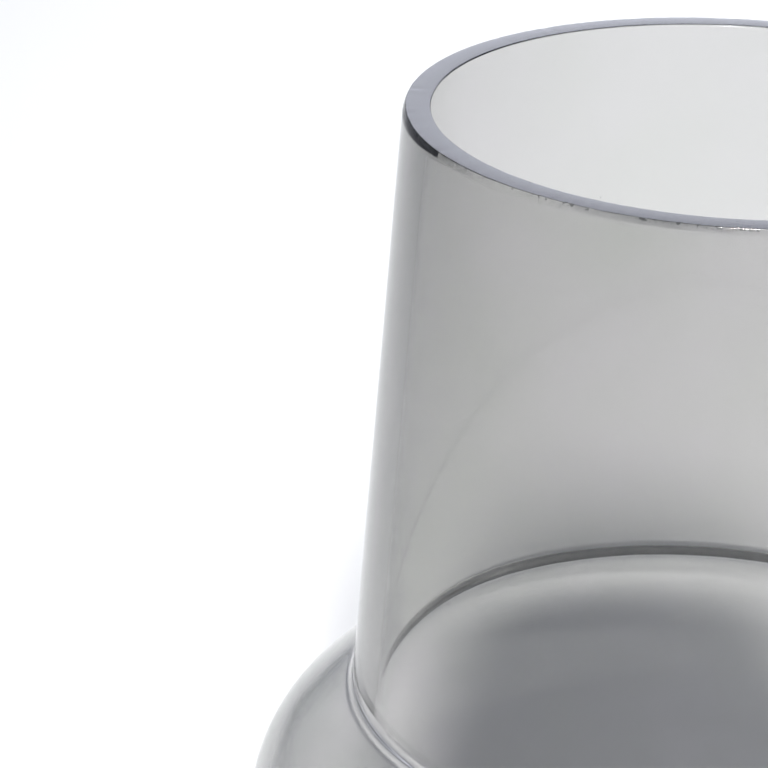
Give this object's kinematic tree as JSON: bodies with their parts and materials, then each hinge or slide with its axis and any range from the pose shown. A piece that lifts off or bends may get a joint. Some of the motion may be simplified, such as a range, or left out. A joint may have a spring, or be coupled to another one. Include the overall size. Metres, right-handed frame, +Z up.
{
  "type": "glass vase",
  "caption": "Smoked clear glass flower vase with a wide, slightly tapered neck, a ground rim and a round-shouldered cylinder body.",
  "frame": {"origin": "middle of the flat ring that the vase stands on", "axes": "+Z up along the vase's axis, out of the mouth; +X and +Y are free, as the vase is round"},
  "size_m": [0.15, 0.15, 0.205],
  "materials": {
    "smoked_glass": "polished, clear, lightly smoked grey"
  },
  "bodies": {
    "root": {"lip": "smoked_glass", "neck": "smoked_glass", "shoulder": "smoked_glass", "body_wall": "smoked_glass", "base": "smoked_glass"}
  },
  "joints": []
}
